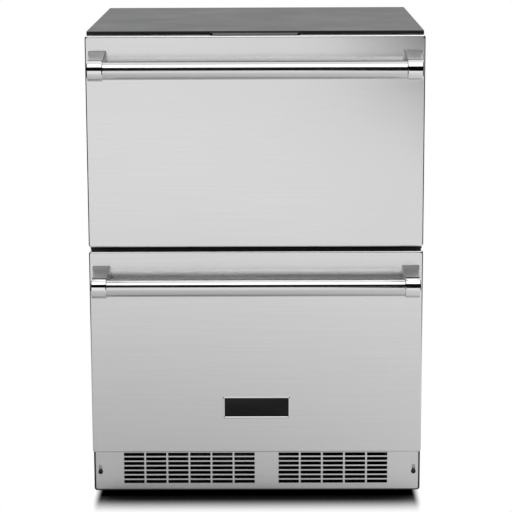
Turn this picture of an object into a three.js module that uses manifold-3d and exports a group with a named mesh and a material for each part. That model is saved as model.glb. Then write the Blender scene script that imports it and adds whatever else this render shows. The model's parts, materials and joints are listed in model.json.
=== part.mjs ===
// Undercounter refrigerator with two drawers. A foamed steel cabinet stands on a base pan with
// four levelling legs. Each drawer runs on full extension slides, seals with a gasket against the
// face frame and has a tubular handle. The machine room lies behind the lower drawer and breathes
// through the slotted kick plate; the evaporator hangs behind the upper drawer.
//
// Millimetres. +X is the viewer's right, +Y runs from the drawer fronts to the back, +Z is up.
// Inside the cabinet's own space y = 0 is the plane of the face frame that the gaskets close on,
// and z = 0 is the floor. The last lines move the origin to the middle of the footprint.

import * as THREE from 'three';
import { mergeVertices } from 'three/addons/utils/BufferGeometryUtils.js';
import Module from 'manifold-3d';

const wasm = await Module();
wasm.setup();

// ---------------------------------------------------------------- driving sizes

// Clearances
const fit = 0.3; // between pieces that touch or are fastened together
const running = 0.5; // between pieces that slide or turn
const weld = 0.3; // how far two pieces reach into each other where they are made as one
const overrun = 50; // how far a cutting tool runs past the piece that it cuts

// Cabinet
const width = 606;
const height = 864;
const carcassDepth = 560;
const skin = 1.2;
const wall = 45;
const linerSheet = 2;
const linerRadius = 8;
const frameDepth = 12;
const frameRadius = 4;
const topFold = 4;
const topBend = 2.5;
const sealMargin = 4;
const floorInsulation = 40;

// Base pan and machine room
const baseClearance = 11.5;
const baseSheet = 2.5;
const baseBend = 5;
const railDrop = 3;
const machineRoomDepth = 195;
const machineRoomHeight = 288;
const stepInsulation = 42;
const ventSlot = { length: 70, height: 4, pitch: 12, rows: 9, columns: 3, margin: 60 };
const gland = { radius: 9, wall: 4, flange: 3, depth: 12, inset: 32.5, rise: 30 };

// Drawer fronts
const toeHeight = 91;
const frontDifference = 4; // the upper front is this much taller than the lower one
const frontGap = 8;
const topReveal = 5;
const frontDepth = 28;
const frontSheet = 1;
const frontBend = 3;
const frontReturn = 5;

// Gaskets
const gasketDepth = 12.7;
const gasketWidth = 12;
const gasketInset = 6;
const gasketWaist = 1.5;
const gasketLip = 3;
const dartWidth = 4;
const dartDepth = 3.5;

// Handles
const tubeDiameter = 31.75;
const tubeWall = 1.5;
const handleReach = 50;
const handleDrop = 56.5;
const collarDiameter = 37;
const collarLength = 28;
const collarInset = 8;
const collarCap = 4;
const collarBevel = 1.5;
const post = { inset: 6.5, width: 32, rise: 31, fall: 15, tipWidth: 27, tipDrop: 1, bend: 2.5 };

// Bins and slides
const binHeadroom = 54;
const binSheet = 2;
const binRadius = 14;
const binLift = 6;
const binRearGap = 8;
const binRim = { out: 5, drop: 9 };
const slideHeight = 45;
const slideSheet = 1.2;
const slideDepth = 12.2;
const slideLip = 2.2;
const slideRise = 70;
const slideSetback = 3;

// Control visor, light and plate on the lower front
const visor = { width: 161, depth: 33.5, height: 3.4, chamfer: 5, fascia: 1.2, lift: 0.6 };
const light = { length: 220, width: 16, height: 7, lens: 8, edge: 3.5, setback: 30 };
const plate = { width: 123.6, height: 41, depth: 2, rim: 3.1, recess: 0.8, radius: 3.5, rise: 86 };

// Kick plate and its screws
const kick = { setback: 19, gap: 2, clearance: 14, depth: 3, sheet: 1.2, bend: 2 };
const grille = { slotWidth: 37.7, slotHeight: 6.1, pitchX: 41.04, pitchZ: 8.76, rows: 7, rise: 12.1 };
const leftGrille = { columns: 6, start: -247 };
const rightGrille = { columns: 5, start: 40.3 };
const kickScrew = { inset: 12.2, height: 48.3, headRadius: 4.5, headHeight: 2.2, shankRadius: 2.7 };
const kickSlot = { play: 0.4, travel: 11 };
const kickTab = { sheet: 2, height: 44, width: 22 };

// Levelling legs
const leg = { padRadius: 19, padHeight: 5, slope: 4, nutRadius: 9, stemRadius: 5, stemTop: 62, inset: 36 };
const legBevel = 1;
const boss = { wall: 6, height: 20 };

// Refrigeration
const evaporator = {
  sideGap: 38,
  lift: 15,
  fanGap: 40,
  depth: 38,
  tubeRadius: 5,
  passes: 4,
  fins: 8,
  finSheet: 1.2,
};
const evaporatorCover = { sideGap: 30, rise: 21, topGap: 12, depth: 68, sheet: 2, radius: 8 };
const returnSlot = { columns: 7, land: 19, height: 8, rise: 16 };
const evaporatorFan = {
  radius: 46,
  hubRadius: 16,
  tip: 4,
  drop: 84,
  depth: 14,
  blades: 5,
  bladeSheet: 2.4,
  sweep: 0.35,
  twist: 0.7,
};
const condenser = {
  halfWidth: 78,
  height: 225,
  depth: 38,
  tubeRadius: 5,
  passes: 5,
  fins: 7,
  finSheet: 1.2,
};
const condenserFan = {
  radius: 70,
  hubRadius: 22,
  tip: 4,
  height: 150,
  depth: 24,
  blades: 5,
  bladeSheet: 2.4,
  sweep: 0.3,
  twist: 0.8,
};
const fanHousing = { sheet: 2, ring: 30, motorLength: 40 };
const motorArm = { count: 3, width: 10, reach: 8, sheet: 3, seat: 1.2 };
const motorBevel = 3;
const compressor = {
  sideGap: 153,
  radius: 76,
  bottomDome: 26,
  seam: 96,
  topDome: 62,
  height: 175,
  flange: 5,
};
const compressorPlate = { margin: 12, sheet: 6 };
const grommet = { radius: 12, height: 12, x: 78, y: 39 };
const terminalBox = { halfWidth: 23, depth: 12, low: 24, high: 60 };
const tray = { gap: 25, halfWidth: 75, halfDepth: 70, height: 30, sheet: 2, radius: 12 };

// Facets
const cornerSteps = 3;
const mitreSteps = 1; // one facet across a corner
const arcSteps = 4;
const tubeSides = 24;
const smallSides = 14;
const nutSides = 6;
const coilSides = 6;
const coilBendSteps = 4;
const bladeSteps = 2;

// ---------------------------------------------------------------- places worked out from the sizes

const halfWidth = width / 2;
const seatPlane = -fit;
const frontBack = -gasketDepth - 2 * fit;
const frontFace = frontBack - frontDepth;
const handleAxisY = frontFace - handleReach;
const collarRadius = collarDiameter / 2;
const tubeRadius = tubeDiameter / 2;

const baseTop = baseClearance + baseSheet;
const railTop = toeHeight - railDrop;
const foamBottom = railTop + fit;
const machineRoomTop = baseTop + machineRoomHeight;
const machineRoomFront = carcassDepth - machineRoomDepth;
const machineRoomMiddle = (machineRoomFront + carcassDepth - skin) / 2;

const cavity = {
  halfWidth: halfWidth - wall,
  front: frameDepth + fit,
  bottom: foamBottom + floorInsulation,
  top: height - wall,
  lowerRear: machineRoomFront - stepInsulation,
  stepTop: machineRoomTop + stepInsulation,
  rear: carcassDepth - wall,
};
const evaporatorFace = cavity.rear - evaporatorCover.depth;

const sealLand = gasketInset + gasketWidth + sealMargin;
const upperTop = height - topReveal;
const lowerFrontHeight = (upperTop - toeHeight - frontGap - frontDifference) / 2;
const lowerFront = { bottom: toeHeight, top: toeHeight + lowerFrontHeight };
const upperFront = { bottom: lowerFront.top + frontGap, top: upperTop };
const lowerOpening = { bottom: cavity.bottom, top: lowerFront.top - sealLand };
const upperOpening = { bottom: upperFront.bottom + sealLand, top: cavity.top };

const kickFace = frontFace + kick.setback;
const kickBack = kickFace + kick.depth;
const basePanFront = kickBack + fit;
const kickTop = toeHeight - kick.gap;

// ---------------------------------------------------------------- solids

const X = new THREE.Vector3(1, 0, 0);
const Y = new THREE.Vector3(0, 1, 0);
const Z = new THREE.Vector3(0, 0, 1);

// Drops the attributes that split shared corners, and the triangles that shrink to a line.
function welded(geometry) {
  const bare = new THREE.BufferGeometry();
  bare.setAttribute('position', geometry.getAttribute('position').clone());
  if (geometry.index) bare.setIndex(geometry.index.clone());
  const merged = mergeVertices(bare, 1e-4);
  const corners = merged.index.array;
  const kept = [];
  for (let i = 0; i < corners.length; i += 3) {
    const [a, b, c] = [corners[i], corners[i + 1], corners[i + 2]];
    if (a !== b && b !== c && c !== a) kept.push(a, b, c);
  }
  merged.setIndex(kept);
  return merged;
}

// Turns a closed surface so that its faces point out.
function outward(geometry) {
  const solid = welded(geometry);
  const points = solid.getAttribute('position');
  const corners = solid.index.array;
  const [a, b, c] = [new THREE.Vector3(), new THREE.Vector3(), new THREE.Vector3()];
  let volume = 0;
  for (let i = 0; i < corners.length; i += 3) {
    a.fromBufferAttribute(points, corners[i]);
    b.fromBufferAttribute(points, corners[i + 1]);
    c.fromBufferAttribute(points, corners[i + 2]);
    volume += a.dot(b.cross(c));
  }
  if (volume < 0) solid.setIndex(Array.from(corners).reverse());
  return solid;
}

function manifoldOf(geometry) {
  const solid = outward(geometry);
  const vertProperties = Float32Array.from(solid.getAttribute('position').array);
  const triVerts = Uint32Array.from(solid.index.array);
  return new wasm.Manifold(new wasm.Mesh({ numProp: 3, vertProperties, triVerts }));
}

function geometryOf(manifold) {
  const mesh = manifold.getMesh();
  const geometry = new THREE.BufferGeometry();
  geometry.setAttribute('position', new THREE.BufferAttribute(mesh.vertProperties, 3));
  geometry.setIndex(new THREE.BufferAttribute(mesh.triVerts, 1));
  return geometry;
}

function joined(...geometries) {
  return geometryOf(geometries.map(manifoldOf).reduce((whole, piece) => whole.add(piece)));
}

function cut(geometry, ...tools) {
  const whole = manifoldOf(geometry);
  return geometryOf(tools.map(manifoldOf).reduce((rest, tool) => rest.subtract(tool), whole));
}

function mirrored(geometry) {
  return outward(geometry.clone().scale(-1, 1, 1));
}

// A box between two opposite corners.
function block([x0, y0, z0], [x1, y1, z1]) {
  const geometry = new THREE.BoxGeometry(x1 - x0, y1 - y0, z1 - z0);
  return geometry.translate((x0 + x1) / 2, (y0 + y1) / 2, (z0 + z1) / 2);
}

// A flat outline given as (y, z), pushed along X from x0 to x1.
function prismAlongX(shape, x0, x1) {
  const geometry = new THREE.ExtrudeGeometry(shape, { depth: x1 - x0, bevelEnabled: false });
  geometry.applyMatrix4(new THREE.Matrix4().makeBasis(Y, Z, X));
  return geometry.translate(x0, 0, 0);
}

// A flat outline given as (x, z), pushed along Y from y0 to y1.
function prismAlongY(shape, y0, y1) {
  const settings = { depth: y1 - y0, bevelEnabled: false, curveSegments: arcSteps };
  const geometry = new THREE.ExtrudeGeometry(shape, settings);
  geometry.applyMatrix4(new THREE.Matrix4().makeBasis(X, Z, Y.clone().negate()));
  return geometry.translate(0, y1, 0);
}

// A flat outline given as (x, y), pushed along Z from z0 to z1.
function prismAlongZ(shape, z0, z1) {
  const geometry = new THREE.ExtrudeGeometry(shape, { depth: z1 - z0, bevelEnabled: false });
  return geometry.translate(0, 0, z0);
}

// A solid of revolution about its own Z, from a profile of [radius, z] pairs.
function turned(profile, sides) {
  const points = profile.map(([radius, z]) => new THREE.Vector2(radius, z));
  return outward(new THREE.LatheGeometry(points, sides).rotateX(Math.PI / 2));
}

const alongX = (geometry) => geometry.rotateY(Math.PI / 2);
const alongY = (geometry) => geometry.rotateX(-Math.PI / 2);

function rod(radius, length, sides = smallSides) {
  return turned([[0, 0], [radius, 0], [radius, length], [0, length]], sides);
}

// Profile of a dome from its crown on the axis at z = 0 to its full radius at z = height.
function domeProfile(radius, height) {
  const points = [];
  for (let step = 0; step <= cornerSteps; step++) {
    const angle = ((step / cornerSteps) * Math.PI) / 2;
    points.push([radius * Math.sin(angle), height * (1 - Math.cos(angle))]);
  }
  return points;
}

// Corner points of a rounded rectangle, counter-clockwise.
function roundedRectangle(halfU, halfV, radius, steps = cornerSteps) {
  const points = [];
  for (let corner = 0; corner < 4; corner++) {
    const u = (corner === 0 || corner === 3 ? 1 : -1) * (halfU - radius);
    const v = (corner < 2 ? 1 : -1) * (halfV - radius);
    for (let step = 0; step <= steps; step++) {
      const angle = ((corner + step / steps) * Math.PI) / 2;
      points.push([u + radius * Math.cos(angle), v + radius * Math.sin(angle)]);
    }
  }
  return points;
}

// A skin through rings of equal count. Open rows are capped at both ends; looped rows close on
// themselves and make a frame.
function lofted(rings, looped = false) {
  const count = rings[0].length;
  const index = [];
  const rows = looped ? rings.length : rings.length - 1;
  for (let row = 0; row < rows; row++) {
    const here = row * count;
    const next = ((row + 1) % rings.length) * count;
    for (let i = 0; i < count; i++) {
      const j = (i + 1) % count;
      index.push(here + i, here + j, next + j, here + i, next + j, next + i);
    }
  }
  if (!looped) {
    const last = (rings.length - 1) * count;
    for (let i = 1; i < count - 1; i++) {
      index.push(0, i + 1, i, last, last + i, last + i + 1);
    }
  }
  const geometry = new THREE.BufferGeometry();
  geometry.setAttribute('position', new THREE.Float32BufferAttribute(rings.flat(2), 3));
  geometry.setIndex(index);
  return outward(geometry);
}

const frontOutline = (front) => ({ left: -halfWidth, right: halfWidth, ...front });

// Rings in planes of constant y round a front's outline, drawn in by each step's inset.
function frontRings(outline, steps, roundness = cornerSteps) {
  const middleX = (outline.left + outline.right) / 2;
  const middleZ = (outline.bottom + outline.top) / 2;
  return steps.map(({ inset, y, radius }) => {
    const halfU = (outline.right - outline.left) / 2 - inset;
    const halfV = (outline.top - outline.bottom) / 2 - inset;
    return roundedRectangle(halfU, halfV, radius, roundness).map(([u, v]) => [middleX + u, y, middleZ + v]);
  });
}

// Steps of a quarter round edge of a pressed front, from the flat face to the side.
function bentEdge(face, bend, radius) {
  const steps = [];
  for (let step = 0; step <= cornerSteps; step++) {
    const angle = ((step / cornerSteps) * Math.PI) / 2;
    steps.push({ inset: bend * (1 - Math.sin(angle)), y: face + bend * (1 - Math.cos(angle)), radius });
  }
  return steps;
}

// An open tub with a round lower edge and a rim that is turned out.
function tub({ left, right, front, back, bottom, top, sheet, radius, rim }) {
  const middle = [(left + right) / 2, (front + back) / 2];
  const half = [(right - left) / 2 - rim.out, (back - front) / 2 - rim.out];
  const rows = [
    [-sheet, bottom],
    [0, bottom + sheet],
    [0, top - rim.drop],
    [rim.out, top - rim.drop],
    [rim.out, top],
    [-sheet, top],
    [-sheet, bottom + 2 * sheet],
    [-2 * sheet, bottom + sheet],
  ];
  const ring = ([out, z]) => {
    const corners = roundedRectangle(half[0] + out, half[1] + out, radius + out);
    return corners.map(([u, v]) => [middle[0] + u, middle[1] + v, z]);
  };
  return lofted(rows.map(ring));
}

function polygon(points) {
  return new THREE.Shape(points.map(([u, v]) => new THREE.Vector2(u, v)));
}

// A closed outline whose corners are rounded, as a folded sheet's are.
function softPolygon(points, radius) {
  const shape = new THREE.Shape();
  const corners = points.map(([u, v]) => new THREE.Vector2(u, v));
  corners.forEach((corner, i) => {
    const before = corners.at(i - 1).clone().sub(corner).setLength(radius).add(corner);
    const after = corners[(i + 1) % corners.length].clone().sub(corner).setLength(radius).add(corner);
    if (i === 0) shape.moveTo(before.x, before.y);
    else shape.lineTo(before.x, before.y);
    shape.quadraticCurveTo(corner.x, corner.y, after.x, after.y);
  });
  shape.closePath();
  return new THREE.Shape(shape.getPoints(cornerSteps));
}

// ---------------------------------------------------------------- cabinet

// Side view of the inside of the cabinet with its step over the machine room, grown all round.
function cavityOutline(grow, front) {
  return softPolygon(
    [
      [front, cavity.bottom - grow],
      [cavity.lowerRear + grow, cavity.bottom - grow],
      [cavity.lowerRear + grow, cavity.stepTop - grow],
      [cavity.rear + grow, cavity.stepTop - grow],
      [cavity.rear + grow, cavity.top + grow],
      [front, cavity.top + grow],
    ],
    linerRadius,
  );
}

function innerLiner() {
  const reach = cavity.halfWidth + linerSheet;
  const outside = prismAlongX(cavityOutline(linerSheet, cavity.front - linerRadius), -reach, reach);
  const inside = prismAlongX(cavityOutline(0, -overrun), -cavity.halfWidth, cavity.halfWidth);
  const mouth = block([-width, -width, 0], [width, cavity.front, height]);
  return cut(outside, inside, mouth);
}

function insulation() {
  const inset = skin + fit;
  const body = block(
    [inset - halfWidth, cavity.front, foamBottom],
    [halfWidth - inset, carcassDepth - inset, height - inset],
  );
  const grow = linerSheet + fit;
  const reach = cavity.halfWidth + grow;
  const hollow = prismAlongX(cavityOutline(grow, -overrun), -reach, reach);
  const machineRoom = block([-width, machineRoomFront, 0], [width, carcassDepth, machineRoomTop]);
  return cut(body, hollow, machineRoom);
}

// Side sheet, notched at the front corner for the top sheet's fold.
function sidePanel() {
  const top = height - skin - fit;
  const notch = height - topFold - fit;
  const outline = polygon([
    [0, foamBottom],
    [carcassDepth, foamBottom],
    [carcassDepth, top],
    [topBend + fit, top],
    [topBend + fit, notch],
    [0, notch],
  ]);
  return prismAlongX(outline, halfWidth - skin, halfWidth);
}

// Top sheet with its front edge folded down.
function topPanel() {
  const outline = polygon([
    [0, height - topFold],
    [0, height - topBend],
    [topBend, height],
    [carcassDepth, height],
    [carcassDepth, height - skin],
    [topBend, height - skin],
    [skin, height - topBend],
    [skin, height - topFold],
  ]);
  return prismAlongX(outline, -halfWidth, halfWidth);
}

function backPanel() {
  const side = halfWidth - skin - fit;
  const top = height - skin - fit;
  return block([-side, carcassDepth - skin, machineRoomTop + fit], [side, carcassDepth, top]);
}

// Frame round both openings, with the mullion that the two inner gasket runs close on.
function faceFrame() {
  const side = halfWidth - skin - fit;
  const outside = polygon([
    [-side, foamBottom],
    [side, foamBottom],
    [side, height - topFold - fit],
    [-side, height - topFold - fit],
  ]);
  for (const opening of [lowerOpening, upperOpening]) {
    const middle = (opening.bottom + opening.top) / 2;
    const edge = roundedRectangle(cavity.halfWidth, opening.top - middle, frameRadius);
    outside.holes.push(new THREE.Path(edge.map(([u, v]) => new THREE.Vector2(u, middle + v))));
  }
  return prismAlongY(outside, 0, frameDepth);
}

function interiorLight() {
  const top = cavity.top - fit;
  const edge = light.width / 2;
  const lens = light.lens / 2;
  const section = polygon([
    [light.setback - edge, top],
    [light.setback - edge, top - light.edge],
    [light.setback - lens, top - light.height],
    [light.setback + lens, top - light.height],
    [light.setback + edge, top - light.edge],
    [light.setback + edge, top],
  ]);
  return prismAlongX(section, -light.length / 2, light.length / 2);
}

function visorOutline(front, back) {
  const half = visor.width / 2;
  return polygon([
    [-half, back],
    [-half, front + visor.chamfer],
    [-half + visor.chamfer, front],
    [half - visor.chamfer, front],
    [half, front + visor.chamfer],
    [half, back],
  ]);
}

function controlVisor() {
  const bottom = upperFront.top + visor.lift;
  return prismAlongZ(visorOutline(seatPlane - visor.depth, seatPlane), bottom, bottom + visor.height);
}

function controlFascia() {
  const back = seatPlane - visor.depth - fit;
  const half = visor.width / 2 - visor.chamfer;
  const bottom = upperFront.top + visor.lift;
  return block([-half, back - visor.fascia, bottom], [half, back, bottom + visor.height]);
}

// ---------------------------------------------------------------- base pan and kick plate

const legSpots = {
  front_left: [-1, leg.inset],
  front_right: [1, leg.inset],
  rear_left: [-1, carcassDepth - leg.inset],
  rear_right: [1, carcassDepth - leg.inset],
};
const legX = halfWidth - leg.inset;
const kickScrewX = halfWidth - kickScrew.inset;

// Folded pan whose side rails carry the cabinet and run forward to the kick plate.
function panSection(inset, top) {
  const bend = baseBend - inset;
  const left = -halfWidth + inset;
  const bottom = baseClearance + inset;
  const shape = new THREE.Shape();
  shape.moveTo(left, top);
  shape.lineTo(left, bottom + bend);
  shape.absarc(left + bend, bottom + bend, bend, Math.PI, 1.5 * Math.PI);
  shape.absarc(-left - bend, bottom + bend, bend, 1.5 * Math.PI, 2 * Math.PI);
  shape.lineTo(-left, top);
  return shape;
}

const bossRadius = leg.stemRadius + fit + boss.wall;

function legBoss([side, y]) {
  return rod(bossRadius, baseSheet + boss.height).translate(side * legX, y, baseClearance);
}

function legHole([side, y]) {
  return rod(leg.stemRadius + fit, height).translate(side * legX, y, 0);
}

function kickScrewTab(side) {
  const near = halfWidth - baseSheet;
  const low = kickScrew.height - kickTab.height / 2;
  const tab = block(
    [near - kickTab.width, basePanFront, low],
    [near + weld, basePanFront + kickTab.sheet, low + kickTab.height],
  );
  return side < 0 ? mirrored(tab) : tab;
}

function kickScrewHole(side) {
  const drill = alongY(rod(kickScrew.shankRadius + fit, 2 * overrun));
  return drill.translate(side * kickScrewX, basePanFront - overrun, kickScrew.height);
}

function basePan() {
  const channel = cut(
    prismAlongY(panSection(0, railTop), basePanFront, carcassDepth),
    prismAlongY(panSection(baseSheet, height), basePanFront - overrun, carcassDepth + overrun),
  );
  const spots = Object.values(legSpots);
  const whole = joined(channel, kickScrewTab(-1), kickScrewTab(1), ...spots.map(legBoss));
  return cut(whole, kickScrewHole(-1), kickScrewHole(1), ...spots.map(legHole));
}

// Slots of one group of the grille, as the solids that are cut away.
function grilleSlots({ columns, start }) {
  const slots = [];
  const [front, back] = [kickFace - overrun, kickBack + overrun];
  for (let column = 0; column < columns; column++) {
    for (let row = 0; row < grille.rows; row++) {
      const x = start + column * grille.pitchX;
      const z = kick.clearance + grille.rise + row * grille.pitchZ;
      slots.push(block([x, front, z], [x + grille.slotWidth, back, z + grille.slotHeight]));
    }
  }
  return slots;
}

// Upright slot in which the kick plate is shifted to the floor, with its screw at the lower end.
function adjustingSlot(side) {
  const radius = kickScrew.shankRadius + kickSlot.play;
  const shape = new THREE.Shape();
  shape.absarc(0, kickSlot.travel, radius, 0, Math.PI);
  shape.absarc(0, 0, radius, Math.PI, 2 * Math.PI);
  shape.closePath();
  const slot = prismAlongY(shape, kickFace - overrun, kickBack + overrun);
  return slot.translate(side * kickScrewX, 0, kickScrew.height);
}

function kickPlate() {
  const half = halfWidth - baseSheet - 2 * fit;
  const outline = { left: -half, right: half, bottom: kick.clearance, top: kickTop };
  const inner = kick.bend + kick.sheet;
  const pan = lofted(
    frontRings(outline, [
      ...bentEdge(kickFace, kick.bend, inner),
      { inset: 0, y: kickBack, radius: inner },
      { inset: kick.sheet, y: kickBack, radius: kick.bend },
      { inset: kick.sheet, y: kickFace + kick.sheet, radius: kick.bend },
    ]),
  );
  const grilles = [...grilleSlots(leftGrille), ...grilleSlots(rightGrille)];
  return cut(pan, ...grilles, adjustingSlot(-1), adjustingSlot(1));
}

function kickPlateScrew(side) {
  const { headRadius, headHeight, shankRadius } = kickScrew;
  const length = headHeight + kick.depth + 2 * fit + 2 * kickTab.sheet;
  const profile = [
    ...domeProfile(headRadius, headHeight),
    [shankRadius, headHeight],
    [shankRadius, length],
    [0, length],
  ];
  const screw = alongY(turned(profile, smallSides));
  return screw.translate(side * kickScrewX, kickFace - headHeight - fit, kickScrew.height);
}

function levellingLeg([side, y]) {
  const { padRadius, padHeight, slope, nutRadius, stemRadius, stemTop } = leg;
  const foot = turned(
    [
      [0, 0],
      [padRadius - legBevel, 0],
      [padRadius, legBevel],
      [padRadius, padHeight - 2 * legBevel],
      [padRadius - slope, padHeight],
      [stemRadius, padHeight],
      [stemRadius, stemTop - legBevel],
      [stemRadius - legBevel, stemTop],
      [0, stemTop],
    ],
    smallSides,
  );
  const nut = rod(nutRadius, baseClearance - fit - padHeight, nutSides).translate(0, 0, padHeight);
  return joined(foot, nut).translate(side * legX, y, 0);
}

// ---------------------------------------------------------------- drawers

// Pressed stainless front with bent edges and a return at the back.
function frontSkin(front) {
  return lofted(
    frontRings(frontOutline(front), [
      ...bentEdge(frontFace, frontBend, frontBend + frontSheet),
      { inset: 0, y: frontBack, radius: frontBend },
      { inset: frontReturn, y: frontBack, radius: frontBend },
      { inset: frontReturn, y: frontBack - frontSheet, radius: frontBend },
      { inset: frontSheet, y: frontBack - frontSheet, radius: frontBend },
      { inset: frontSheet, y: frontFace + frontSheet + frontBend, radius: frontBend },
      { inset: frontSheet + frontBend, y: frontFace + frontSheet, radius: frontBend },
    ]),
  );
}

// Rings round a front whose corners are cut off straight, from a profile of [inset, y] pairs.
function mitredRings(front, profile) {
  const steps = profile.map(([inset, y]) => ({ inset, y, radius: frontBend }));
  return frontRings(frontOutline(front), steps, mitreSteps);
}

// Foamed back of a front: it fills the skin and has the groove that holds the gasket's dart.
function frontBacking(front) {
  const edge = frontSheet + fit;
  const lip = frontReturn + fit;
  const step = frontBack - frontSheet - fit;
  const groove = gasketInset + gasketWidth / 2 - dartWidth / 2 - fit;
  const grooveEnd = groove + dartWidth + 2 * fit;
  const grooveFloor = frontBack - dartDepth - fit;
  const profile = [
    [edge + frontBend, frontFace + edge],
    [edge, frontFace + edge + frontBend],
    [edge, step],
    [lip, step],
    [lip, frontBack],
    [groove, frontBack],
    [groove, grooveFloor],
    [grooveEnd, grooveFloor],
    [grooveEnd, frontBack],
  ];
  return lofted(mitredRings(front, profile));
}

// Magnetic gasket: a bellows section with a dart, mitred round the front.
function gasket(front) {
  const out = gasketInset;
  const inside = gasketInset + gasketWidth;
  const middle = gasketInset + gasketWidth / 2;
  const back = frontBack + fit;
  const profile = [
    [out, back],
    [out, back + gasketLip],
    [out + gasketWaist, back + gasketLip + gasketWaist],
    [out + gasketWaist, seatPlane - gasketLip - gasketWaist],
    [out, seatPlane - gasketLip],
    [out, seatPlane],
    [inside, seatPlane],
    [inside, seatPlane - gasketLip],
    [inside - gasketWaist, seatPlane - gasketLip - gasketWaist],
    [inside - gasketWaist, back + gasketLip + gasketWaist],
    [inside, back + gasketLip],
    [inside, back],
    [middle + dartWidth / 2, back],
    [middle + dartWidth / 2, back - dartDepth],
    [middle - dartWidth / 2, back - dartDepth],
    [middle - dartWidth / 2, back],
  ];
  return lofted(mitredRings(front, profile), true);
}

function handleTube(axisZ) {
  const length = width - 2 * (collarInset + collarCap + fit);
  const inner = tubeRadius - tubeWall;
  const profile = [
    [inner, 0],
    [tubeRadius, 0],
    [tubeRadius, length],
    [inner, length],
    [inner, 0],
  ];
  return alongX(turned(profile, tubeSides)).translate(-length / 2, handleAxisY, axisZ);
}

// Polished cup that closes the end of the tube and stands on the post.
function handleCollar(axisZ) {
  const bore = tubeRadius + fit;
  const profile = [
    [0, collarCap],
    [bore, collarCap],
    [bore, collarLength],
    [collarRadius - collarBevel, collarLength],
    [collarRadius, collarLength - collarBevel],
    [collarRadius, collarBevel],
    [collarRadius - collarBevel, 0],
    [0, 0],
  ];
  return alongX(turned(profile, tubeSides)).translate(collarInset - halfWidth, handleAxisY, axisZ);
}

// Tapered arm between the front and the collar, hollowed to sit on the collar.
function handlePost(axisZ) {
  const base = -halfWidth + post.inset + post.width / 2;
  const tip = -halfWidth + collarInset + collarLength / 2;
  const tipTop = collarRadius - post.tipDrop;
  const ring = (x, across, y, top) => {
    const middle = axisZ + (top - post.fall) / 2;
    const corners = roundedRectangle(across / 2, (top + post.fall) / 2, post.bend);
    return corners.map(([u, v]) => [x + u, y, middle + v]);
  };
  const arm = lofted([
    ring(base, post.width, frontFace - fit, post.rise),
    ring(tip, post.tipWidth, handleAxisY, tipTop),
  ]);
  const seat = alongX(rod(collarRadius + fit, width, tubeSides)).translate(-width, handleAxisY, axisZ);
  return cut(arm, seat);
}

function nameplate() {
  const half = { u: plate.width / 2, v: plate.height / 2 };
  const middle = lowerFront.bottom + plate.rise;
  const back = frontFace - fit;
  const outline = { left: -half.u, right: half.u, bottom: middle - half.v, top: middle + half.v };
  const bevel = plate.recess;
  return lofted(
    frontRings(outline, [
      { inset: 0, y: back, radius: plate.radius },
      { inset: 0, y: back - plate.depth + bevel, radius: plate.radius },
      { inset: bevel, y: back - plate.depth, radius: plate.radius - bevel },
      { inset: plate.rim - bevel, y: back - plate.depth, radius: plate.radius - bevel },
      { inset: plate.rim, y: back - plate.depth + plate.recess, radius: plate.radius - bevel },
    ]),
  );
}

// ---------------------------------------------------------------- bins and slides

const slideOuter = cavity.halfWidth - fit;
const binHalfWidth = slideOuter - slideDepth - fit;
const slideFront = frameDepth + slideSetback;

function bin(opening, rearLimit) {
  const bottom = opening.bottom + binLift;
  return tub({
    left: -binHalfWidth - binRim.out,
    right: binHalfWidth + binRim.out,
    front: frontBack + fit,
    back: rearLimit - binRearGap,
    bottom,
    top: opening.top - binHeadroom,
    sheet: binSheet,
    radius: binRadius,
    rim: binRim,
  });
}

// Sections of the three slide members as (depth from the liner, height from the middle). Each is a
// channel: the outer one holds the middle one by its lips, which holds the inner one by its own.
const outerHalf = slideHeight / 2;
const middleHalf = outerHalf - slideSheet - running;
const middleBack = slideSheet + running;
const middleFront = slideDepth - 2 * slideSheet - 2 * running;
const innerHalf = middleHalf - slideSheet - running;
const innerBack = middleBack + slideSheet + running;
const neckHalf = innerHalf - slideLip - running;

function channelSection(back, front, halfHeight) {
  const s = slideSheet;
  const lip = halfHeight - s - slideLip;
  return [
    [back, -halfHeight],
    [front, -halfHeight],
    [front, -lip],
    [front - s, -lip],
    [front - s, -halfHeight + s],
    [back + s, -halfHeight + s],
    [back + s, halfHeight - s],
    [front - s, halfHeight - s],
    [front - s, lip],
    [front, lip],
    [front, halfHeight],
    [back, halfHeight],
  ];
}

function hatSection() {
  const s = slideSheet;
  return [
    [slideDepth, -neckHalf],
    [slideDepth, neckHalf],
    [innerBack + s, neckHalf],
    [innerBack + s, innerHalf],
    [innerBack, innerHalf],
    [innerBack, neckHalf - s],
    [slideDepth - s, neckHalf - s],
    [slideDepth - s, -neckHalf + s],
    [innerBack, -neckHalf + s],
    [innerBack, -innerHalf],
    [innerBack + s, -innerHalf],
    [innerBack + s, -neckHalf],
  ];
}

const slideSections = {
  cabinet: channelSection(0, slideDepth - slideSheet - running, outerHalf),
  middle: channelSection(middleBack, middleFront, middleHalf),
  drawer: hatSection(),
};

function slideMember(section, side, opening, rearLimit) {
  const middle = opening.bottom + binLift + slideRise;
  const shape = polygon(section.map(([depth, rise]) => [slideOuter - depth, middle + rise]));
  const member = prismAlongY(shape, slideFront, rearLimit - binRearGap);
  return side < 0 ? mirrored(member) : outward(member);
}

// ---------------------------------------------------------------- refrigeration

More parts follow.
